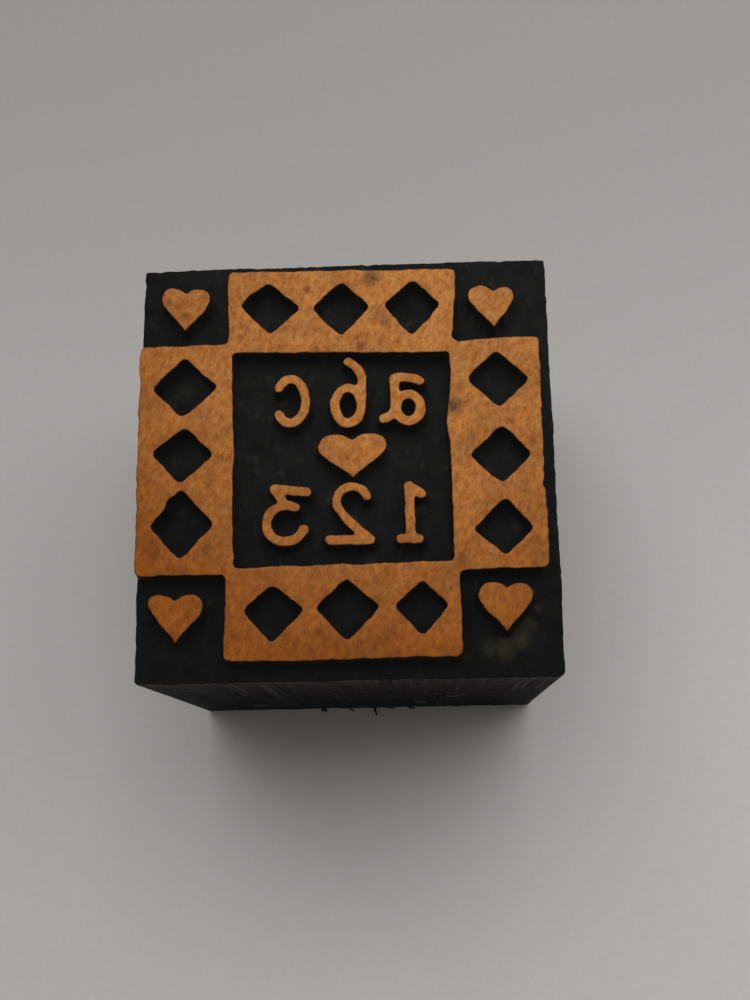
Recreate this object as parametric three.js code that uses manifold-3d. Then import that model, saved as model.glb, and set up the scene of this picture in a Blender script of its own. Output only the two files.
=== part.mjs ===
// A hand-carved wooden block stamp, in millimetres.
//
// Frame: the origin is the middle of the base, +Z points up to the printing face, +X to the right
// and +Y away from a person who looks down on the printing face with the block's front towards them.
//
// The block is one piece of wood. It is divided here at the carved ground: block_body is everything
// below the ground, and each raised island of the printing face is a solid that stands on it.
// The picture is mirrored, as on every stamp: letters and figures are drawn as they print, and are
// turned over when they become solids.

import * as THREE from 'three';
import { mergeVertices } from 'three/addons/utils/BufferGeometryUtils.js';
import Module from 'manifold-3d';

const wasm = await Module();
wasm.setup();

// The block and its relief.
const BLOCK_WIDTH = 38;
const BLOCK_DEPTH = 39.2;
const TOTAL_HEIGHT = 40;
const RELIEF_HEIGHT = 1.75;
const GROUND_Z = TOTAL_HEIGHT - RELIEF_HEIGHT;

// How far each kind of corner is rounded off, measured along its sides.
const BLOCK_CORNER = 0.5;
const BORDER_CORNER = 0.6;
const WINDOW_CORNER = 0.35;
const DIAMOND_CORNER = 0.45;
const CORNER_STEPS = 3;

// The characters are drawn with one stroke width, and every stroke has round ends.
const STROKE_WIDTH = 0.88;
const CURVE_STEPS = 10;
const CAP_STEPS = 6;

// The border is a cross-shaped ring, cut by eye. Its corners run counter-clockwise from the right
// end of the top arm. The four arms hold together only by the necks between the cross's inner
// corners and the window's.
const BORDER = [
  [10.55, 18.25], [-10.8, 18.6], [-10.7, 11.45],
  [-18.9, 11.4], [-18.95, -10.2], [-10.7, -10.2],
  [-10.95, -17.9], [10.1, -17.85], [10.05, -10.25],
  [17.85, -10.2], [18, 11.4], [10.15, 11.1],
];
const WINDOW = [[-10.35, 10.55], [9.75, 10.05], [9.5, -9.45], [-10, -9.6]];

// The border's pockets are diamonds, cut by eye too: the left, top, right and bottom corner of each.
const DIAMONDS = [
  // top arm
  [[-9.65, 15.2], [-7, 17.4], [-4, 14.8], [-6.85, 12.2]],
  [[-3, 14.8], [-0.15, 17.2], [2.5, 14.75], [-0.2, 11.85]],
  [[3.8, 14.9], [6.55, 17.2], [9.1, 14.75], [6.3, 11.75]],
  // right arm
  [[11.2, 7.35], [14, 10.15], [16.9, 7.3], [14.15, 4.6]],
  [[11.2, 0.25], [14.25, 2.9], [16.9, 0.25], [14.15, -2.55]],
  [[11.35, -6.65], [14.35, -3.8], [16.9, -6.65], [14.15, -9.15]],
  // bottom arm
  [[-9.2, -13.45], [-6.7, -11.2], [-3.7, -13.45], [-6.65, -16.55]],
  [[-2.8, -13.4], [0, -10.8], [2.95, -13.4], [0, -16.35]],
  [[4.2, -13.35], [6.7, -11.05], [9.05, -13.35], [6.65, -16.05]],
  // left arm
  [[-17.8, 7.25], [-14.75, 10.2], [-11.6, 7.35], [-14.9, 4.45]],
  [[-17.6, 1.15], [-14.65, 3.6], [-11.9, 0.9], [-15, -1.8]],
  [[-17.65, -5.75], [-14.9, -2.2], [-11.95, -5.65], [-14.85, -8.8]],
];

// Hearts: the notch and the tip as points, and for each shoulder its widest point and its top.
const HEARTS = {
  heart_top_left: {
    notch: [-14.75, 16.45],
    tip: [-14.75, 12.75],
    shoulders: [{ x: -17.05, y: 16.1, top: 17.2 }, { x: -12.4, y: 15.85, top: 17.05 }],
  },
  heart_top_right: {
    notch: [14, 15.85],
    tip: [13.95, 12.25],
    shoulders: [{ x: 11.55, y: 15.45, top: 16.45 }, { x: 15.85, y: 15.3, top: 16.3 }],
  },
  heart_bottom_left: {
    notch: [-15.25, -12.5],
    tip: [-15.15, -16.3],
    shoulders: [{ x: -17.65, y: -12.6, top: -11.9 }, { x: -12.7, y: -12.9, top: -11.9 }],
  },
  heart_bottom_right: {
    notch: [14.1, -12],
    tip: [13.95, -15.9],
    shoulders: [{ x: 11.6, y: -12.6, top: -11.45 }, { x: 16.35, y: -12.65, top: -11.55 }],
  },
  heart_centre: {
    notch: [0.7, 1.8],
    tip: [0.7, -1.7],
    shoulders: [{ x: -2.45, y: 1.2, top: 2.5 }, { x: 3.85, y: 1.35, top: 2.55 }],
  },
};

// Where each character's own origin, on its base line, goes on the block.
const CHARACTERS = {
  letter_a: { draw: letterA, x: 5.85, y: 3.1 },
  letter_b: { draw: letterB, x: 0.35, y: 3.05 },
  letter_c: { draw: letterC, x: -4.9, y: 3.2 },
  digit_1: { draw: digit1, x: 5.8, y: -7.8 },
  digit_2: { draw: digit2, x: 0.6, y: -7.8 },
  digit_3: { draw: digit3, x: -5.4, y: -7.8 },
};

const STAINED = { color: 0x1b1b1b, roughness: 0.7, metalness: 0 };
const BARE = { color: 0xa06a38, roughness: 0.65, metalness: 0 };

// Outlines

function roundedPolygon(corners, cut) {
  const points = corners.map(([x, y]) => new THREE.Vector2(x, y));
  const outline = new THREE.Shape();
  points.forEach((corner, i) => {
    const before = points.at(i - 1);
    const after = points[(i + 1) % points.length];
    const start = corner.clone().lerp(before, cut / corner.distanceTo(before));
    const end = corner.clone().lerp(after, cut / corner.distanceTo(after));
    if (i === 0) outline.moveTo(start.x, start.y);
    else outline.lineTo(start.x, start.y);
    outline.quadraticCurveTo(corner.x, corner.y, end.x, end.y);
  });
  outline.closePath();
  return outline;
}

// Half of a heart: over the shoulder from the notch, then down the flank to the tip. The control
// points' height makes the middle of the shoulder's curve reach its top.
function addHeartHalf(outline, notch, tip, shoulder, towardsTip) {
  const controlY = (8 * shoulder.top - notch[1] - shoulder.y) / 6;
  const over = [
    [notch[0] + (shoulder.x - notch[0]) * 0.25, controlY],
    [shoulder.x, controlY],
  ];
  const flank = [
    [shoulder.x, shoulder.y - (shoulder.y - tip[1]) * 0.3],
    [tip[0] + (shoulder.x - tip[0]) * 0.2, tip[1] + (shoulder.y - tip[1]) * 0.3],
  ];
  const widest = [shoulder.x, shoulder.y];
  if (towardsTip) {
    outline.bezierCurveTo(...over[0], ...over[1], ...widest);
    outline.bezierCurveTo(...flank[0], ...flank[1], ...tip);
  } else {
    outline.bezierCurveTo(...flank[1], ...flank[0], ...widest);
    outline.bezierCurveTo(...over[1], ...over[0], ...notch);
  }
}

function heartOutline({ notch, tip, shoulders }) {
  const outline = new THREE.Shape();
  outline.moveTo(...notch);
  addHeartHalf(outline, notch, tip, shoulders[1], true);
  addHeartHalf(outline, notch, tip, shoulders[0], false);
  return outline;
}

// One side of a stroke, and the round cap at its far end.
function strokeSide(points) {
  const around = (centre, angle) => new THREE.Vector2(
    centre.x + Math.cos(angle) * STROKE_WIDTH / 2,
    centre.y + Math.sin(angle) * STROKE_WIDTH / 2,
  );
  const last = points.length - 1;
  const side = points.map((point, i) => {
    const ahead = points[Math.min(i + 1, last)].clone().sub(points[Math.max(i - 1, 0)]);
    return around(point, ahead.angle() + Math.PI / 2);
  });
  const heading = points[last].clone().sub(points[last - 1]).angle();
  for (let step = 1; step < CAP_STEPS; step += 1) {
    side.push(around(points[last], heading + Math.PI * (0.5 - step / CAP_STEPS)));
  }
  return side;
}

// The picture's mirroring. The order of the points is turned round too, so that a hole still runs
// the other way from the outline around it.
function turnedOver(points) {
  return points.map((point) => new THREE.Vector2(-point.x, point.y)).reverse();
}

function stroke(path) {
  const points = path.getPoints(CURVE_STEPS);
  return new THREE.Shape(turnedOver([...strokeSide(points), ...strokeSide([...points].reverse())]));
}

function bowl(x, y, radiusX, radiusY) {
  const ellipse = (grow) => new THREE.Path()
    .absellipse(x, y, radiusX + grow, radiusY + grow, 0, 2 * Math.PI)
    .getPoints(CURVE_STEPS)
    .slice(1);
  const ring = new THREE.Shape(turnedOver(ellipse(STROKE_WIDTH / 2)));
  ring.holes.push(new THREE.Path(turnedOver(ellipse(-STROKE_WIDTH / 2))));
  return ring;
}

const line = (...points) => stroke(new THREE.Path(points.map(([x, y]) => new THREE.Vector2(x, y))));
const degrees = THREE.MathUtils.degToRad;

// Characters, as they print, with the base line at y = 0

function letterA() {
  const top = new THREE.Path().moveTo(-1.1, 4.25).quadraticCurveTo(-0.3, 4.75, 1.25, 4.6);
  const stem = new THREE.Path().moveTo(1.25, 4.6).lineTo(1.2, 1.7);
  stem.quadraticCurveTo(1.35, 0.95, 2.3, 0.75);
  return [bowl(0, 1.75, 1.1, 1.3), stroke(top), stroke(stem)];
}

function letterB() {
  const ascender = new THREE.Path().moveTo(-1.21, 2.15).lineTo(-1.3, 4.7);
  ascender.quadraticCurveTo(-1.25, 5.75, 0, 6.3);
  return [bowl(0, 2.15, 1.21, 1.71), stroke(ascender)];
}

function letterC() {
  const arc = new THREE.Path().absellipse(0, 2.55, 1.36, 2.11, degrees(35), degrees(325));
  return [stroke(arc)];
}

function digit1() {
  return [
    line([0.1, 5.3], [-0.05, 0.45]),
    line([0.1, 5.3], [-1.05, 4.5]),
    line([-0.75, 0.45], [0.95, 0.45]),
  ];
}

function digit2() {
  const hook = new THREE.Path().absellipse(0, 4.05, 1.4, 1.3, degrees(165), degrees(-35), true);
  hook.quadraticCurveTo(0.6, 2.2, -1.65, 0.45);
  return [stroke(hook), line([-1.65, 0.45], [2.05, 0.5])];
}

function digit3() {
  const lower = new THREE.Path().absellipse(0, 2.1, 1.75, 1.65, degrees(120), degrees(-160), true);
  return [line([-1.95, 4.95], [1.05, 5.35]), line([1.05, 5.35], [0.1, 3.75]), stroke(lower)];
}

// Solids

function raised(outline) {
  const options = { depth: RELIEF_HEIGHT, bevelEnabled: false, curveSegments: CURVE_STEPS };
  return new THREE.ExtrudeGeometry(outline, options);
}

function solidFrom(geometry) {
  geometry.deleteAttribute('normal');
  geometry.deleteAttribute('uv');
  const merged = mergeVertices(geometry);
  return new wasm.Manifold(new wasm.Mesh({
    numProp: 3,
    vertProperties: new Float32Array(merged.attributes.position.array),
    triVerts: new Uint32Array(merged.index.array),
  }));
}

function geometryFrom(solid) {
  const { vertProperties, triVerts } = solid.getMesh();
  const geometry = new THREE.BufferGeometry();
  geometry.setAttribute('position', new THREE.BufferAttribute(vertProperties, 3));
  geometry.setIndex(new THREE.BufferAttribute(triVerts, 1));
  geometry.computeVertexNormals();
  return geometry;
}

function joined(geometries) {
  const solids = geometries.map(solidFrom);
  return geometryFrom(solids.reduce((sum, solid) => sum.add(solid)));
}

function addMesh(parent, name, geometry, look) {
  const mesh = new THREE.Mesh(geometry, new THREE.MeshStandardMaterial(look));
  mesh.name = name;
  parent.add(mesh);
  return mesh;
}

function blockBody() {
  const [x, y] = [BLOCK_WIDTH / 2, BLOCK_DEPTH / 2];
  const section = roundedPolygon([[-x, y], [x, y], [x, -y], [-x, -y]], BLOCK_CORNER);
  const options = { depth: GROUND_Z, bevelEnabled: false, curveSegments: CORNER_STEPS };
  return new THREE.ExtrudeGeometry(section, options);
}

function borderFrame() {
  const outline = roundedPolygon(BORDER, BORDER_CORNER);
  outline.holes.push(roundedPolygon(WINDOW, WINDOW_CORNER));
  for (const corners of DIAMONDS) outline.holes.push(roundedPolygon(corners, DIAMOND_CORNER));
  const options = { depth: RELIEF_HEIGHT, bevelEnabled: false, curveSegments: CORNER_STEPS };
  return new THREE.ExtrudeGeometry(outline, options);
}

const stamp = new THREE.Group();
addMesh(stamp, 'block_body', blockBody(), STAINED);

const relief = new THREE.Group();
relief.position.z = GROUND_Z;
stamp.add(relief);

addMesh(relief, 'border_frame', borderFrame(), BARE);
for (const [name, heart] of Object.entries(HEARTS)) {
  addMesh(relief, name, raised(heartOutline(heart)), BARE);
}
for (const [name, { draw, x, y }] of Object.entries(CHARACTERS)) {
  const mesh = addMesh(relief, name, joined(draw().map(raised)), BARE);
  mesh.position.set(x, y, 0);
}

export default stamp;
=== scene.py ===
import math

import bpy
import numpy as np
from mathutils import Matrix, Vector, noise
from mathutils.geometry import delaunay_2d_cdt


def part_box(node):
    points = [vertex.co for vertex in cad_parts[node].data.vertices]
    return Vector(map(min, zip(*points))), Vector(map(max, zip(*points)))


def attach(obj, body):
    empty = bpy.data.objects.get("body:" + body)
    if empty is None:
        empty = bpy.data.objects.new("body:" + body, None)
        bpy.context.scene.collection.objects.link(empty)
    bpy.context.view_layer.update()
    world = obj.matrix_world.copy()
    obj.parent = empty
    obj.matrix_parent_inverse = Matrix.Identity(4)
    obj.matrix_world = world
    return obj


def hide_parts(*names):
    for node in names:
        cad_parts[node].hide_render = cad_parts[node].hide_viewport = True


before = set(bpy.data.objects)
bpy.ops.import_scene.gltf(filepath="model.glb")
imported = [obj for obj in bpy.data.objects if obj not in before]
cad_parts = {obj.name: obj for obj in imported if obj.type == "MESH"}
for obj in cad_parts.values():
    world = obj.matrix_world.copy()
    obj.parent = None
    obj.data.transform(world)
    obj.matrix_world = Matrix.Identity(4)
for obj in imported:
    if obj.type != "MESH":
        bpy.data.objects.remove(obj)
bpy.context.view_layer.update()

# A hand-carved wooden block stamp. The mesh code works in millimetres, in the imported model's frame,
# and make_mesh turns millimetres into metres.
MM = 0.001
LETTERING = ["letter_a", "letter_b", "letter_c", "digit_1", "digit_2", "digit_3"]
HEARTS = ["heart_top_left", "heart_top_right", "heart_bottom_left", "heart_bottom_right", "heart_centre"]
ISLANDS = ["border_frame", *HEARTS, *LETTERING]

FACE_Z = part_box("border_frame")[1].z / MM
GROUND_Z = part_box("block_body")[1].z / MM
BLOCK_LOW = np.array(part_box("block_body")[0]) / MM
BLOCK_HIGH = np.array(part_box("block_body")[1]) / MM

# Carved outlines
OUTLINE_STEP = 0.13
REACH_SHARE = 0.6
CORNER_RADIUS = 0.13
FILL_STEP = 0.42
SUNK = 0.35
SIDE_GAP = 0.03

# An island's section, from the sanded face outwards and down. Each row starts with its distance out
# from the outline and ends with its share of bare wood. Between them stands, for the face, how far
# the row lies below it; for the wall, its height above the ground as a share of the island's; and
# for the foot, its height over the ground, which is negative.
FACE_ROWS = [(-0.2, 0.0, 1.0), (-0.1, 0.01, 0.92), (-0.035, 0.035, 0.7), (0.0, 0.08, 0.2)]
WALL_ROWS = [
    (0.03, 0.82, 0.0), (0.06, 0.6, 0.0), (0.09, 0.38, 0.0), (0.15, 0.2, 0.0), (0.26, 0.07, 0.0),
]
FOOT_ROWS = [(0.42, -0.1, 0.0), (0.46, -SUNK, 0.0)]

# How far apart two seeds' noise lies, and the block's own seeds. An island's seed is its place in
# ISLANDS, counted from 1, and the facets of its wall are FACET_SHIFT seeds on.
SEED_SPACING = 31.7
GROUND_NOISE = 3
SIDE_NOISE = 4
BASE_NOISE = 6
CHIP_NOISE = 9
FACET_SHIFT = 7
# How a knife-cut outline wavers: (depth, length, layer of the noise).
WOBBLES = [(0.08, 2.3, 0), (0.08, 0.9, 5), (0.05, 0.4, 8)]

# Slips of the knife: (x, y, radius, depth of wood taken off; negative where wood was left standing).
SLIPS = [
    (9.9, 11.75, 0.35, 0.32), (17.75, -2.65, 0.4, 0.32), (-15.95, -3.35, 0.5, 0.3),
    (-8.7, 16.35, 0.8, 0.2), (9.5, 3.6, 2.2, -0.32), (-10.2, 1.5, 1.5, -0.15),
    (-10.0, -5.5, 2.5, 0.12), (-4.0, -17.95, 3.0, -0.15), (18.0, -6.5, 3.0, -0.15),
    (7.9, 13.0, 0.6, 0.12), (-12.6, 8.9, 0.6, -0.15), (13.2, -8.3, 0.6, -0.12),
]


def wave(x, y, z, seed):
    """Smooth noise from -1 to 1 at a point, whose coordinates are already divided by its scale."""
    return noise.noise(Vector((x, y, z + SEED_SPACING * seed)))


def resampled(loop, step):
    """The loop with its points about a step apart."""
    closed = np.vstack([loop, loop[:1]])
    along = np.concatenate([[0], np.cumsum(np.linalg.norm(np.diff(closed, axis=0), axis=1))])
    count = max(12, round(along[-1] / step))
    places = np.arange(count) * along[-1] / count
    return np.column_stack([np.interp(places, along, closed[:, axis]) for axis in (0, 1)])


def softened(loop, times=1):
    """The loop, or a row of values, with each point drawn towards its neighbours."""
    for _ in range(times):
        loop = (np.roll(loop, 1, axis=0) + 2 * loop + np.roll(loop, -1, axis=0)) / 4
    return loop


def outward(loop):
    """Unit normals that point out of the wood, which is on the loop's left."""
    ahead = np.roll(loop, -1, axis=0) - np.roll(loop, 1, axis=0)
    normals = np.column_stack([ahead[:, 1], -ahead[:, 0]])
    return normals / np.linalg.norm(normals, axis=1)[:, None]


def reach(loop, normals):
    """How far each point can go along its normal before it is as near to another stretch of the loop."""
    gaps = loop[None] - loop[:, None]
    along = (gaps * normals[:, None]).sum(axis=2)
    squared = (gaps ** 2).sum(axis=2)
    return np.where(along > 1e-4, squared / np.maximum(2 * along, 2e-4), np.inf).min(axis=1)


def opened(loop):
    """The loop with its sharpest inner corners rounded, so that the walls fit into them."""
    for _ in range(12):
        tight = reach(loop, outward(loop)) < CORNER_RADIUS
        loop = np.where(tight[:, None], softened(loop), loop)
    return loop


def grown(loop, distance):
    """The loop moved out of the wood by a distance, or by less in a corner too tight for that."""
    normals = outward(loop) * math.copysign(1, distance)
    moves = np.minimum(abs(distance), REACH_SHARE * reach(loop, normals))
    moves = softened(np.minimum.reduce([np.roll(moves, shift) for shift in range(-3, 4)]), 2)
    return loop + normals * moves[:, None]


def face_loops(node):
    """The closed outlines of a CAD island's top face, with the wood on each loop's left."""
    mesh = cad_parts[node].data
    points = [tuple(round(c / MM, 3) for c in vertex.co) for vertex in mesh.vertices]
    edges = set()
    for polygon in mesh.polygons:
        corners = [points[i] for i in polygon.vertices]
        if min(corner[2] for corner in corners) > FACE_Z - 0.01:
            edges.update(zip(corners, corners[1:] + corners[:1]))
    following = {a: b for a, b in edges if (b, a) not in edges}
    loops = []
    while following:
        loop = [min(following)]
        while following.get(loop[-1]):
            loop.append(following.pop(loop[-1]))
        loops.append(np.array(loop[:-1])[:, :2])
    return loops


def hand_cut(loop, seed):
    """A CAD outline as a knife leaves it: slightly wavy, with its corners eased and its slips."""
    loop = softened(resampled(loop, OUTLINE_STEP), 2)
    push = []
    for x, y in loop:
        wobble = sum(deep * wave(x / long, y / long, layer, seed) for deep, long, layer in WOBBLES)
        for slip_x, slip_y, radius, depth in SLIPS:
            away = ((x - slip_x) ** 2 + (y - slip_y) ** 2) / radius ** 2
            wobble -= depth * math.exp(-away)
        push.append(wobble)
    return opened(softened(loop + outward(loop) * np.array(push)[:, None]))


def inside(points, loops):
    """Which of the points lie in the wood, by counting the outline edges to their right."""
    crossings = np.zeros(len(points), int)
    for loop in loops:
        ends = np.roll(loop, -1, axis=0)
        for (ax, ay), (bx, by) in zip(loop, ends):
            spans = (ay > points[:, 1]) != (by > points[:, 1])
            if ay != by:
                crossings += spans & (points[:, 0] < ax + (points[:, 1] - ay) * (bx - ax) / (by - ay))
    return crossings % 2 == 1


def gap_to(points, loops):
    """Each point's distance to the nearest outline point."""
    rim = np.vstack(loops)
    parts = [
        np.sqrt(((part[:, None] - rim[None]) ** 2).sum(axis=2)).min(axis=1)
        for part in np.array_split(points, max(1, len(points) // 500))
    ]
    return np.concatenate(parts) if parts else np.zeros(0)


def scattered(loops, step, rng):
    """Points on a jittered grid inside the loops, clear of them by more than half a step."""
    rim = np.vstack(loops)
    low, high = rim.min(axis=0), rim.max(axis=0)
    grid = np.stack(np.meshgrid(*[np.arange(a, b, step) for a, b in zip(low, high)]), axis=-1)
    points = grid.reshape(-1, 2) + rng.uniform(-0.25, 0.25, (grid.size // 2, 2)) * step
    points = points[inside(points, loops)]
    gaps = gap_to(points, loops)
    return points[gaps > 0.55 * step], gaps[gaps > 0.55 * step]


def triangles_in(loops, extra):
    """Triangles that fill the loops, as indices into the loops' points followed by the extra ones."""
    points = np.vstack([*loops, extra])
    edges, start = [], 0
    for loop in loops:
        turn = np.arange(len(loop))
        edges += zip((start + turn).tolist(), (start + (turn + 1) % len(loop)).tolist())
        start += len(loop)
    made = delaunay_2d_cdt([Vector(p) for p in points], edges, [], 0, 1e-7)
    corners = np.array([[made[3][i][0] for i in face] for face in made[2]])
    return corners[inside(points[corners].mean(axis=1), loops)].tolist()


def bands(start, count, row_count):
    """Faces between rows of points that follow each other, each row a closed ring."""
    faces = []
    for row in range(row_count - 1):
        for i in range(count):
            a = start + row * count + i
            b = start + row * count + (i + 1) % count
            faces.append((a, a + count, b + count, b))
    return faces


def caps(rims, rim_index, extra, extra_start):
    """Triangles that close the rims with the extra points inside them, as indices into the mesh."""
    index = np.concatenate([*rim_index, np.arange(extra_start, extra_start + len(extra))])
    return index[np.array(triangles_in(rims, extra))]


def make_mesh(name, points, faces, marks):
    """A smooth-shaded mesh object, with the marks as its vertices' attributes."""
    mesh = bpy.data.meshes.new(name)
    mesh.from_pydata((np.array(points) * MM).tolist(), [], faces)
    for mark, values in marks.items():
        mesh.attributes.new(mark, "FLOAT", "POINT").data.foreach_set("value", np.array(values, "f"))
    mesh.shade_smooth()
    mesh.validate()
    piece = bpy.data.objects.new(name, mesh)
    bpy.context.scene.collection.objects.link(piece)
    return piece


def face_drop(x, y, gap, seed):
    """How far the sanded face lies below its plane: a slight sway, and worn down near its edges."""
    sway = 0.02 + 0.02 * wave(x / 3.1, y / 3.1, 0, seed) + 0.006 * wave(x / 0.7, y / 0.7, 2, seed)
    return sway + 0.03 * math.exp(-gap / 0.4)


def island_rows(loop, seed):
    """The rows of one outline's edge and wall, each as its points and its share of bare wood."""
    height = FACE_Z - GROUND_Z
    rows = []
    for out, drop, bare in FACE_ROWS:
        ring = grown(loop, out)
        z = [FACE_Z - drop - face_drop(x, y, 0, seed) for x, y in ring]
        rows.append((np.column_stack([ring, z]), bare))
    for out, level, bare in WALL_ROWS + FOOT_ROWS:
        ring = grown(loop, out)
        facet = [0.035 * wave(x / 0.9, y / 0.9, level, seed + FACET_SHIFT) for x, y in ring]
        ring = ring + outward(ring) * np.array(facet)[:, None]
        ring = np.clip(ring, BLOCK_LOW[:2] + SIDE_GAP, BLOCK_HIGH[:2] - SIDE_GAP)
        z = GROUND_Z + level * height if level >= 0 else GROUND_Z + level
        rows.append((np.column_stack([ring, np.full(len(ring), z)]), bare))
    return rows


def island(node, seed):
    """One raised island: its sanded face, its walls and a foot that is sunk in the block."""
    rng = np.random.default_rng(seed)
    loops = [hand_cut(loop, seed) for loop in face_loops(node)]
    rows = [island_rows(loop, seed) for loop in loops]
    points, bare, faces, first_rows, last_rows = [], [], [], [], []
    for loop_rows in rows:
        count = len(loop_rows[0][0])
        start = len(points)
        for ring, share in loop_rows:
            points += ring.tolist()
            bare += [share] * count
        first_rows.append(np.arange(start, start + count))
        last_rows.append(np.arange(len(points) - count, len(points)))
        faces += bands(start, count, len(loop_rows))
    rims = [loop_rows[0][0][:, :2] for loop_rows in rows]
    extra, gaps = scattered(rims, FILL_STEP, rng)
    faces += caps(rims, first_rows, extra, len(points)).tolist()
    for (x, y), gap in zip(extra, gaps):
        points.append([x, y, FACE_Z - face_drop(x, y, gap, seed)])
        bare.append(1.0)
    feet = [loop_rows[-1][0][:, :2] for loop_rows in rows]
    faces += caps(feet, last_rows, np.zeros((0, 2)), 0)[:, ::-1].tolist()
    return make_mesh("carved_" + node, points, faces, {"bare": bare})


# The block

BLOCK_SEED = 5
SIDE_STEP = 0.2
ROW_STEP = 0.6
GROUND_STEP = 0.3
BASE_STEP = 1.2
# How far each vertical edge is rounded, counter-clockwise from the front right.
EDGE_RADII = [0.45, 0.16, 0.16, 0.25]
CORNER_POINTS = 8
# The section over the top edge: (distance in from the side, height below the ground).
TOP_ROWS = [(0.15, 0.0), (0.08, 0.01), (0.03, 0.035), (0.005, 0.08), (0.0, 0.16)]
# How many of those rows count as the top. The rest and all below them are the sides.
ROWS_ON_TOP = 3
# How much height a chip takes from the top edge, as a share of its depth.
CHIP_DROP = 0.4
# The plain part of the sides starts this far below the ground and ends at this height.
TOP_SIDE_ROW = 0.6
LOW_SIDE_ROW = 0.7
# The section under the base's edge: (distance in from the side, height).
BASE_ROWS = [(0.0, 0.25), (0.03, 0.1), (0.08, 0.03), (0.14, 0.005)]
# How far the wear reaches from an upright edge, and how far the worn mark reaches down from the top edge,
# where it is partly wear and partly painted light.
UPRIGHT_WEAR = 0.9
TOP_WEAR_AND_PAINTED_LIGHT = 5
# Splinters at the foot of the front, and pale lint caught on it: (start, bend, end, radius).
SPLINTERS = [
    ((-5.2, -19.45, 0.3), (-5.25, -19.75, 0.45), (-5.0, -20.05, 0.25), 0.26),
    ((-5.5, -19.5, 0.2), (-5.4, -19.8, 0.3), (-5.5, -20.0, 0.12), 0.12),
    ((-2.4, -19.5, 0.3), (-2.1, -19.8, 0.4), (-1.7, -20.05, 0.15), 0.12),
    ((0.75, -19.5, 0.35), (0.7, -20.0, 0.6), (1.0, -20.55, 0.18), 0.17),
    ((1.6, -19.5, 0.2), (2.4, -19.75, 0.3), (3.1, -19.8, 0.15), 0.08),
    ((4.6, -19.5, 0.2), (5.0, -19.85, 0.3), (5.5, -19.8, 0.15), 0.15),
]
THREAD_RINGS = 9
THREAD_SIDES = 6
LINT = [
    ((5.5, -19.75, 11.4), (6.3, -19.9, 10.4), (7.0, -19.75, 11.3), 0.03),
    ((8.9, -19.75, 18.9), (9.8, -19.95, 19.0), (10.6, -19.75, 21.0), 0.03),
    ((-12.0, -19.75, 11.0), (-11.2, -19.9, 10.2), (-10.4, -19.75, 10.6), 0.03),
]


def block_outline():
    """The block's rounded rectangle, counter-clockwise from the front right corner."""
    points = []
    signs = [(1, -1), (1, 1), (-1, 1), (-1, -1)]
    for (sign_x, sign_y), radius, quarter in zip(signs, EDGE_RADII, range(4)):
        x = (BLOCK_HIGH[0] if sign_x > 0 else BLOCK_LOW[0]) - sign_x * radius
        y = (BLOCK_HIGH[1] if sign_y > 0 else BLOCK_LOW[1]) - sign_y * radius
        for step in range(CORNER_POINTS + 1):
            angle = (quarter - 1 + step / CORNER_POINTS) * math.pi / 2
            points.append((x + radius * math.cos(angle), y + radius * math.sin(angle)))
    return resampled(np.array(points), SIDE_STEP)


def carved_ground(x, y):
    """Height of the cleared ground, with the shallow furrows that the gouge leaves."""
    furrow = wave(x / 0.75, y / 2.4, 0, GROUND_NOISE)
    sway = wave(x / 3.7, y / 3.7, 1, GROUND_NOISE)
    return GROUND_Z - 0.02 + 0.03 * furrow + 0.04 * sway


def base_underside(x, y):
    """Height of the base's face, which is planed but not quite flat."""
    return 0.02 + 0.02 * wave(x / 1.1, y / 14, 0, BASE_NOISE)


def side_relief(along, z):
    """How far the sides stand out or in: fibres run up the block, so it changes slowly with height."""
    broad = 0.09 * wave(along / 6.5, z / 50, 0, SIDE_NOISE)
    fibres = 0.06 * wave(along / 1.1, z / 60, 3, SIDE_NOISE)
    fibres += 0.035 * wave(along / 0.45, z / 25, 6, SIDE_NOISE)
    return 0.06 + broad + fibres


def top_edge_nick(along):
    """Extra wood lost from the top edge, in a few short chips."""
    chip = max(0.0, wave(along / 0.9, 0, 0, CHIP_NOISE) - 0.25)
    return 0.2 * chip + 0.025 * wave(along / 0.5, 1, 0, CHIP_NOISE)


def thread(path, radius):
    """A thin closed tube along a path, tapering towards its end, as points and faces."""
    start, bend, end = np.array(path, float)
    heading = Vector(end - start).normalized()
    side = heading.cross(Vector((0.3, 0.2, 1))).normalized()
    other = heading.cross(side)
    points = []
    for t in np.linspace(0, 1, THREAD_RINGS):
        centre = (1 - t) ** 2 * start + 2 * t * (1 - t) * bend + t * t * end
        for corner in range(THREAD_SIDES):
            angle = corner * 2 * math.pi / THREAD_SIDES
            away = side * math.cos(angle) + other * math.sin(angle)
            points.append(centre + away * radius * (1 - 0.5 * t))
    faces = []
    for ring in range(THREAD_RINGS - 1):
        for corner in range(THREAD_SIDES):
            a = ring * THREAD_SIDES + corner
            b = ring * THREAD_SIDES + (corner + 1) % THREAD_SIDES
            faces.append((a, b, b + THREAD_SIDES, a + THREAD_SIDES))
    first_cap = tuple(range(THREAD_SIDES))
    last_cap = tuple(len(points) - THREAD_SIDES + corner for corner in first_cap)
    return points, faces + [first_cap[::-1], last_cap]


def with_threads(points, faces, marks, threads, pale):
    """Adds threads to a mesh's points, faces and marks."""
    for *path, radius in threads:
        more_points, more_faces = thread(path, radius)
        faces += [tuple(len(points) + i for i in face) for face in more_faces]
        points += [list(point) for point in more_points]
        marks["edge"] += [0.0] * len(more_points)
        marks["side"] += [0.0] * len(more_points)
        marks["pale"] += [pale] * len(more_points)


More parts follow.
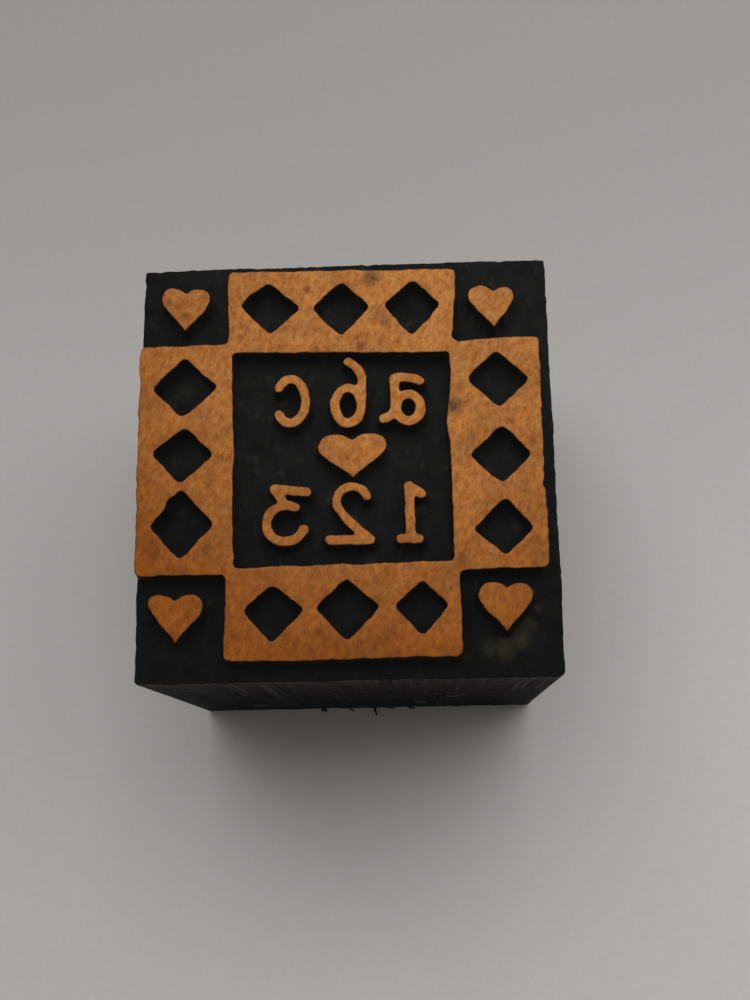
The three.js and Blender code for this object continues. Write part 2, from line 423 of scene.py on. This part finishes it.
def edge_mark(x, y, z):
    """1 at the sides' edges, where the block is worn, falling to 0 a little way off; down from the top
    edge the mark is partly wear and partly painted light.
    """
    from_side = min(x - BLOCK_LOW[0], BLOCK_HIGH[0] - x)
    from_end = min(y - BLOCK_LOW[1], BLOCK_HIGH[1] - y)
    upright = math.exp(-max(0.0, from_side, from_end) / UPRIGHT_WEAR)
    return max(upright, math.exp(-max(0.0, GROUND_Z - z) / TOP_WEAR_AND_PAINTED_LIGHT))


def block_rows(loop):
    """The rings of the block's section, from the ground's edge over the top edge down to the base."""
    out = outward(loop)
    along = np.arange(len(loop)) * SIDE_STEP
    nick = np.array([top_edge_nick(a) for a in along])
    relief = np.array([side_relief(a, GROUND_Z) for a in along])
    rows = []
    for inset, drop in TOP_ROWS:
        ring = grown(loop, -inset) + out * (relief - nick)[:, None]
        z = [carved_ground(x, y) - drop - CHIP_DROP * max(0.0, n) for (x, y), n in zip(ring, nick)]
        rows.append(np.column_stack([ring, z]))
    side_rows = round((GROUND_Z - TOP_SIDE_ROW - LOW_SIDE_ROW) / ROW_STEP)
    heights = np.linspace(GROUND_Z - TOP_SIDE_ROW, LOW_SIDE_ROW, side_rows)
    for inset, z in [(0.0, z) for z in heights] + BASE_ROWS:
        relief = np.array([side_relief(a, z) for a in along])
        ring = grown(loop, -inset) + out * relief[:, None]
        rows.append(np.column_stack([ring, np.full(len(loop), z)]))
    return rows


def side_marks(points, on_top):
    """The marks for the sides and for their worn edges. The first points, on top, have neither."""
    side = [0.0] * on_top + [1.0] * (len(points) - on_top)
    edge = [share * edge_mark(*point) for share, point in zip(side, points)]
    return {"side": side, "edge": edge}


def block():
    """The block with its carved ground, its sides, its base, its splinters and its lint."""
    rng = np.random.default_rng(BLOCK_SEED)
    rows = block_rows(block_outline())
    count = len(rows[0])
    points = np.vstack(rows).tolist()
    faces = bands(0, count, len(rows))
    marks = side_marks(points, ROWS_ON_TOP * count)
    rim = rows[0][:, :2]
    extra, _ = scattered([rim], GROUND_STEP, rng)
    faces += caps([rim], [np.arange(count)], extra, len(points)).tolist()
    points += [[x, y, carved_ground(x, y)] for x, y in extra]
    foot = rows[-1][:, :2]
    last_row = np.arange(count) + (len(rows) - 1) * count
    extra, _ = scattered([foot], BASE_STEP, rng)
    faces += caps([foot], [last_row], extra, len(points))[:, ::-1].tolist()
    points += [[x, y, base_underside(x, y)] for x, y in extra]
    for values in marks.values():
        values += [0.0] * (len(points) - len(values))
    marks["pale"] = [0.0] * len(points)
    with_threads(points, faces, marks, SPLINTERS, 0.0)
    with_threads(points, faces, marks, LINT, 1.0)
    return make_mesh("carved_block", points, faces, marks)


# Looks

class Look:
    """A material, with a short way to add nodes to it."""

    def __init__(self, name):
        self.material = bpy.data.materials.new(name)
        self.material.use_nodes = True
        self.tree = self.material.node_tree
        self.shader = self.tree.nodes["Principled BSDF"]
        self.place = self.node("ShaderNodeTexCoord").outputs["Object"]

    def node(self, kind, inputs=None, **settings):
        """A new node with its settings made and its inputs joined or set."""
        node = self.tree.nodes.new(kind)
        for name, value in settings.items():
            setattr(node, name, value)
        for name, value in (inputs or {}).items():
            self.join(node.inputs[name], value)
        return node

    def join(self, socket, value):
        """Links another node's output to a socket, or sets the socket to a plain value."""
        if isinstance(value, bpy.types.NodeSocket):
            self.tree.links.new(value, socket)
        else:
            socket.default_value = value

    def stretched(self, x=1.0, y=1.0, z=1.0):
        scaled = self.node("ShaderNodeMapping", {"Vector": self.place, "Scale": (x, y, z)})
        return scaled.outputs["Vector"]

    def height(self):
        """The height above the floor, in metres."""
        return self.node("ShaderNodeSeparateXYZ", {"Vector": self.place}).outputs["Z"]

    def drawn_out(self, x, y, turn):
        """The place, for noise drawn out x and y times along axes turned by some degrees."""
        inputs = {"Vector": self.place, "Rotation": (0, 0, math.radians(turn)), "Scale": (x, y, 1)}
        return self.node("ShaderNodeMapping", inputs, vector_type="TEXTURE").outputs["Vector"]

    def grain(self, size_mm, detail=2.0, place=None, roughness=0.5):
        """Noise from 0 to 1 whose patches are about size_mm across."""
        inputs = {
            "Vector": place or self.place,
            "Scale": 1 / (size_mm * MM),
            "Detail": detail,
            "Roughness": roughness,
        }
        return self.node("ShaderNodeTexNoise", inputs).outputs["Fac"]

    def distance(self, place, point_mm):
        """How far a place is from a point given in millimetres."""
        node = self.node("ShaderNodeVectorMath", operation="DISTANCE")
        self.join(node.inputs[0], place)
        node.inputs[1].default_value = [c * MM for c in point_mm]
        return node.outputs["Value"]

    def wobbled(self, size_mm, reach_mm):
        """The place, pushed about by noise."""
        inputs = {"Vector": self.place, "Scale": 1 / (size_mm * MM), "Detail": 2.0}
        push = self.node("ShaderNodeTexNoise", inputs).outputs["Color"]
        centred = self.node("ShaderNodeVectorMath", operation="SUBTRACT")
        self.join(centred.inputs[0], push)
        centred.inputs[1].default_value = (0.5, 0.5, 0.5)
        node = self.node("ShaderNodeVectorMath", operation="MULTIPLY_ADD")
        self.join(node.inputs[0], centred.outputs["Vector"])
        node.inputs[1].default_value = [reach_mm * MM] * 3
        self.join(node.inputs[2], self.place)
        return node.outputs["Vector"]

    def mark(self, name):
        """A vertex attribute that make_mesh wrote."""
        return self.node("ShaderNodeAttribute", attribute_name=name).outputs["Fac"]

    def span(self, value, low, high, to_low=0.0, to_high=1.0):
        """A value's range from low to high, spread smoothly over another range."""
        inputs = {"Value": value, "From Min": low, "From Max": high, "To Min": to_low, "To Max": to_high}
        return self.node("ShaderNodeMapRange", inputs, interpolation_type="SMOOTHSTEP").outputs["Result"]

    def math(self, operation, a, b=0.0):
        node = self.node("ShaderNodeMath", operation=operation)
        self.join(node.inputs[0], a)
        self.join(node.inputs[1], b)
        return node.outputs[0]

    def mixed(self, share, a, b, blend="MIX"):
        node = self.node("ShaderNodeMix", data_type="RGBA", blend_type=blend)
        self.join(node.inputs["Factor"], share)
        self.join(node.inputs[6], a)
        self.join(node.inputs[7], b)
        return node.outputs[2]

    def tinted(self, colour, tint):
        """A colour multiplied by another, or by a number."""
        return self.mixed(1.0, colour, tint, blend="MULTIPLY")

    def bump(self, height, distance_mm, strength=1.0, normal=None):
        inputs = {"Height": height, "Distance": distance_mm * MM, "Strength": strength}
        if normal:
            inputs["Normal"] = normal
        return self.node("ShaderNodeBump", inputs).outputs["Normal"]


BARE_GLOSS = 0.13
STAIN_GLOSS = 0.035
SIDE_GLOSS = 0.008
# Painted light and shade on the top: the wood is painted brightest at one place, as lit most there, and
# darkest, as painted shade, at this distance from it.
PAINTED_LIGHT_PEAK = (5, 14, FACE_Z)
PAINTED_LIGHT_REACH = 31.6
# The tan at the back, with painted light, and at the front, with painted shade.
TAN_PAINTED_LIT = (0.6, 0.228, 0.048, 1)
TAN_PAINTED_SHADED = (0.322, 0.088, 0.0035, 1)
TAN_PORE = (0.24, 0.066, 0.006, 1)
COOL_TINT = (0.98, 1.02, 1.15, 1)
WARM_TINT = (1.02, 0.98, 0.85, 1)
# How far the mottling's streaks are turned, in degrees.
GRAIN_TURN = -18
MOTTLE_DARK = (0.74, 0.6, 0.4, 1)
MOTTLE_LIGHT = (1.19, 1.32, 1.58, 1)
SPOT_BROWN = (0.12, 0.028, 0.002, 1)
RIM_BROWN = (0.11, 0.035, 0.02, 1)
SOOT = (0.07, 0.032, 0.018, 1)
STAIN = (0.0078, 0.0077, 0.0075, 1)
STAIN_GREY = (0.0126, 0.0123, 0.0118, 1)
STAIN_WORN = (0.08, 0.074, 0.065, 1)
STREAK = (0.1, 0.096, 0.088, 1)
LINT_GREY = (0.4, 0.38, 0.34, 1)
# The stain's brightness under the painted shade and the painted light on the top, and at the foot of the
# sides, where shade is painted.
STAIN_PAINTED_LIGHT_RANGE = (0.52, 1.12)
LOW_SHADE = 0.5
# Heights in metres between which the painted shade on the sides lifts, so that they grow brighter and
# their pale fibres stronger.
SHADE_HEIGHTS = (0.02, 0.037)
STREAK_PAINTED_SHADE_HEIGHTS = (0.01, 0.034)
# Painted light: the islands' walls are lightened, standing in for light that reaches into their shade.
WALL_PAINTED_LIGHT = (1.7, 1.65, 1.6, 1)
RUBBED = (0.038, 0.034, 0.018, 1)
# The paper's tone near the front, and its tone far back under painted shade.
FLOOR_NEAR = (0.682, 0.656, 0.634, 1)
FLOOR_FAR_PAINTED_SHADE = (0.452, 0.436, 0.422, 1)
# Painted shade on the floor: between which places its tone goes from far to near along Y, in metres.
FLOOR_PAINTED_SHADE_FADE = (0.085, -0.04)
# Painted light on the floor: between which places it brightens along X, in metres, and its brightness at
# each.
FLOOR_PAINTED_LIGHT_SIDEWAYS = (-0.07, 0.07, 0.955, 1.03)

# Marks on the sanded faces: (x, y, radius, strength).
SOOTY = [(2.7, 17.6, 1.4, 0.85), (9.9, 4.9, 1.5, 0.95), (3.5, 14, 1.6, 0.4), (11.4, 2.1, 0.9, 0.4)]
SPOTS = [
    (-3.3, 16.6, 0.6, 1), (-9.5, 12.2, 0.6, 0.7), (-9, 12.9, 0.5, 0.6), (1.6, 10.8, 0.7, 0.9),
    (-2.5, 10.7, 0.6, 0.8), (1.3, 11.8, 0.5, 0.6), (4, 13.1, 0.9, 0.6), (15, 3.3, 0.6, 0.6),
    (16.8, 1.3, 0.8, 0.5), (16.9, -7.7, 0.9, 0.5), (10.3, -9.4, 1.3, 0.6), (-14.7, 14.4, 0.6, 0.9),
    (-16.3, 15.8, 0.6, 0.6), (-12.3, -1.6, 1, 0.5), (-12.5, -7.9, 0.9, 0.6), (-17.4, -8.4, 1.2, 0.5),
    (3.6, -15.9, 0.9, 0.4), (-2.6, -15.6, 0.6, 0.4),
]
# Rubbed, yellowish marks on the black ground: (x, y, radius, strength).
RUBS = [
    (12.6, -17, 1.4, 0.7), (13.9, -17, 1.6, 0.9), (15.2, -16.3, 1.5, 1), (15.9, -15, 1.2, 0.8),
    (16.9, -13.6, 0.7, 0.7), (2.2, -9, 0.9, 0.5), (-14.9, 7.4, 1.4, 0.4), (15.3, -6.1, 0.8, 0.6),
]


def spots(look, marks, z):
    """The strongest of several round marks at a point, with ragged outlines."""
    place = look.wobbled(0.6, 0.7)
    total = 0.0
    for x, y, radius, strength in marks:
        near = look.span(look.distance(place, (x, y, z)), radius * MM, 0.0, 0.0, strength)
        total = look.math("MAXIMUM", near, total)
    return look.math("MULTIPLY", total, look.span(look.grain(0.4, 4), 0.35, 0.65, 0.7, 1.0))


def painted_light_share(look):
    """Painted light: 1 where the top is painted brightest, falling to 0 at the front left, where shade is
    painted.
    """
    away = look.math("DIVIDE", look.distance(look.place, PAINTED_LIGHT_PEAK), PAINTED_LIGHT_REACH * MM)
    return look.math("SUBTRACT", 1.0, look.math("MULTIPLY", away, away))


def stain_colour(look):
    """Black stain on wood: a little uneven, with faint scuffs, and with painted light towards the back
    right and painted shade towards the front left.
    """
    fibrous = look.stretched(1, 0.6, 0.03)
    uneven = look.span(look.grain(1.3, 4, place=fibrous, roughness=0.6), 0.32, 0.68)
    scuffs = look.span(look.grain(1.1, 4, place=fibrous, roughness=0.6), 0.55, 0.76, 0.0, 0.24)
    base = look.mixed(uneven, STAIN, STAIN_GREY)
    base = look.mixed(scuffs, base, STAIN_WORN)
    # Painted light and shade: the stain is lightened towards the back right and darkened towards the front
    # left.
    return look.tinted(base, look.span(painted_light_share(look), 0.0, 1.0, *STAIN_PAINTED_LIGHT_RANGE))


def bare_colour(look):
    """Sanded end grain: finely mottled tan wood with sooty smudges, with painted light towards the back
    right and painted shade towards the front left.
    """
    # Painted light and shade: the tan goes from its lit tone at the back right to its shaded tone at the
    # front left.
    base = look.mixed(painted_light_share(look), TAN_PAINTED_SHADED, TAN_PAINTED_LIT)
    warm = look.span(look.grain(1.9, 3), 0.35, 0.65)
    base = look.tinted(base, look.mixed(warm, COOL_TINT, WARM_TINT))
    broad = look.span(look.grain(2.6, 3, place=look.wobbled(1.1, 1.0)), 0.3, 0.7, 0.87, 1.12)
    fibrous = look.grain(0.52, 6, place=look.drawn_out(1, 1.6, GRAIN_TURN), roughness=0.74)
    mottle = look.mixed(look.span(fibrous, 0.3, 0.7), MOTTLE_DARK, MOTTLE_LIGHT)
    base = look.tinted(base, mottle)
    base = look.tinted(base, broad)
    pores = look.span(look.grain(0.36, 3, place=look.drawn_out(1, 1.5, GRAIN_TURN)), 0.58, 0.73, 0.0, 0.62)
    base = look.mixed(pores, base, TAN_PORE)
    base = look.mixed(spots(look, SPOTS, FACE_Z), base, SPOT_BROWN)
    return look.mixed(spots(look, SOOTY, FACE_Z), base, SOOT)


def relief_look():
    """The islands: bare wood on their faces, with a brown rim, and stained walls lightened with painted
    light.
    """
    look = Look("bare_and_stained_wood")
    fray = look.math("MULTIPLY", look.math("SUBTRACT", look.grain(0.3, 3), 0.5), 0.7)
    bare = look.math("ADD", look.mark("bare"), fray)
    # Painted light: the walls' stain is lightened.
    wall = look.tinted(stain_colour(look), WALL_PAINTED_LIGHT)
    colour = look.mixed(look.span(bare, 0.25, 0.6), wall, RIM_BROWN)
    colour = look.mixed(look.span(bare, 0.5, 0.95), colour, bare_colour(look))
    look.join(look.shader.inputs["Base Color"], colour)
    look.join(look.shader.inputs["Roughness"], look.span(look.grain(0.8, 3), 0.3, 0.7, 0.52, 0.66))
    gloss = look.span(bare, 0.3, 0.8, STAIN_GLOSS, BARE_GLOSS)
    look.join(look.shader.inputs["Specular IOR Level"], gloss)
    look.join(look.shader.inputs["Normal"], look.bump(look.grain(0.25, 5, roughness=0.6), 0.03, 0.5))
    return look.material


def block_look():
    """Stained wood with painted shade low on its sides, and pale fibres and worn edges towards the top,
    where the worn band is partly wear and partly painted light.
    """
    look = Look("stained_wood")
    # Painted shade: the stain is darkened low on the sides.
    shade = look.span(look.height(), *SHADE_HEIGHTS, LOW_SHADE, 1.0)
    base = look.tinted(stain_colour(look), shade)
    fibres = look.grain(0.5, 5, place=look.stretched(1, 1, 0.014), roughness=0.72)
    clumps = look.span(look.grain(3.2, 3, place=look.stretched(1, 1, 0.08)), 0.38, 0.66)
    streaks = look.math("MULTIPLY", look.span(fibres, 0.5, 0.7), clumps)
    streaks = look.math("MULTIPLY", streaks, look.mark("side"))
    # Painted shade: the pale fibres fade low on the sides.
    streaks = look.math("MULTIPLY", streaks, look.span(look.height(), *STREAK_PAINTED_SHADE_HEIGHTS, 0.3, 1.0))
    colour = look.mixed(streaks, base, STREAK)
    frayed = look.span(look.grain(0.6, 4, place=look.stretched(1, 1, 0.05), roughness=0.65), 0.28, 0.66)
    # The worn mark is wear at the upright edges, and partly wear and partly painted light along the top of
    # the sides.
    worn = look.math("MULTIPLY", look.mark("edge"), frayed)
    colour = look.mixed(worn, colour, STAIN_WORN)
    colour = look.mixed(spots(look, RUBS, GROUND_Z), colour, RUBBED)
    colour = look.mixed(look.mark("pale"), colour, LINT_GREY)
    look.join(look.shader.inputs["Base Color"], colour)
    look.join(look.shader.inputs["Roughness"], look.span(look.grain(1.4, 3), 0.3, 0.7, 0.52, 0.7))
    gloss = look.span(look.mark("side"), 0.0, 1.0, STAIN_GLOSS, SIDE_GLOSS)
    look.join(look.shader.inputs["Specular IOR Level"], gloss)
    rough = look.bump(look.grain(0.3, 4, place=look.stretched(1, 1, 0.03), roughness=0.6), 0.04, 0.5)
    look.join(look.shader.inputs["Normal"], look.bump(fibres, 0.09, 0.8, rough))
    return look.material


def floor_look():
    """Pale paper, with painted shade towards the back and painted light towards the right."""
    look = Look("pale_paper")
    split = look.node("ShaderNodeSeparateXYZ", {"Vector": look.place})
    # Painted shade towards the back, and painted light towards the right.
    tone = look.mixed(look.span(split.outputs["Y"], *FLOOR_PAINTED_SHADE_FADE), FLOOR_FAR_PAINTED_SHADE, FLOOR_NEAR)
    painted_light_rightwards = look.span(split.outputs["X"], *FLOOR_PAINTED_LIGHT_SIDEWAYS)
    fibres = look.span(look.grain(0.7, 4), 0.3, 0.7, 0.985, 1.015)
    shade = look.math("MULTIPLY", painted_light_rightwards, fibres)
    look.join(look.shader.inputs["Base Color"], look.tinted(tone, shade))
    look.shader.inputs["Roughness"].default_value = 0.8
    look.shader.inputs["Specular IOR Level"].default_value = 0.2
    look.join(look.shader.inputs["Normal"], look.bump(look.grain(0.5, 4), 0.04, 0.4))
    return look.material


# Stage

CAMERA_AT = (0.00664, -0.02886, 0.14772)
CAMERA_TURN = (13.11, 2.06, -1.49)
CAMERA_LENS = 44.49
# Soft lights: (name, elevation and turn from +X in degrees, distance, size, power).
LIGHTS = [
    ("window_light", 63.5, 103, 2.2, (1.87, 1.85), 26.0),
    ("side_light", 38, 35, 2.2, (1.95, 1.95), 14.0),
]
AMBIENT = 0.135
AMBIENT_COLOUR = (1.0, 0.95, 0.88, 1)
FLOOR_HALF = 4.0
VEIL = 0.0025


def add_camera():
    camera = bpy.data.objects.new("camera", bpy.data.cameras.new("camera"))
    camera.location = CAMERA_AT
    camera.rotation_mode = "ZYX"
    camera.rotation_euler = [math.radians(turn) for turn in CAMERA_TURN]
    camera.data.lens = CAMERA_LENS
    camera.data.clip_start = 0.01
    bpy.context.scene.collection.objects.link(camera)
    bpy.context.scene.camera = camera


def add_light(name, elevation, towards, distance, size, power):
    """A soft rectangular light that faces the stamp."""
    elevation, towards = math.radians(elevation), math.radians(towards)
    flat = math.cos(elevation)
    back = Vector((flat * math.cos(towards), flat * math.sin(towards), math.sin(elevation)))
    light = bpy.data.objects.new(name, bpy.data.lights.new(name, "AREA"))
    light.data.shape = "RECTANGLE"
    light.data.size, light.data.size_y = size
    light.data.energy = power
    light.location = back * distance
    light.rotation_euler = back.to_track_quat("Z", "Y").to_euler()
    bpy.context.scene.collection.objects.link(light)


def add_world():
    world = bpy.data.worlds.new("room")
    world.use_nodes = True
    background = world.node_tree.nodes["Background"]
    background.inputs["Color"].default_value = AMBIENT_COLOUR
    background.inputs["Strength"].default_value = AMBIENT
    bpy.context.scene.world = world


def add_floor():
    corners = [(-FLOOR_HALF, -FLOOR_HALF, 0), (FLOOR_HALF, -FLOOR_HALF, 0)]
    corners += [(FLOOR_HALF, FLOOR_HALF, 0), (-FLOOR_HALF, FLOOR_HALF, 0)]
    mesh = bpy.data.meshes.new("floor")
    mesh.from_pydata(corners, [], [(0, 1, 2, 3)])
    mesh.materials.append(floor_look())
    floor = bpy.data.objects.new("floor", mesh)
    bpy.context.scene.collection.objects.link(floor)


def place(piece, node, slot, material):
    """Dresses a piece in its material and puts it in the place of its CAD node."""
    piece.data.materials.append(material)
    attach(piece, "root")
    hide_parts(node)


def set_tones():
    """Plain tones, with the faint veil that a bright floor throws over the blacks."""
    view = bpy.context.scene.view_settings
    view.view_transform = "Standard"
    view.use_curve_mapping = True
    view.curve_mapping.black_level = [-VEIL] * 3


set_tones()
add_camera()
for light in LIGHTS:
    add_light(*light)
add_world()
add_floor()
relief_material = relief_look()
for seed, node in enumerate(ISLANDS, start=1):
    place(island(node, seed), node, "bare_wood", relief_material)
place(block(), "block_body", "stained_wood", block_look())
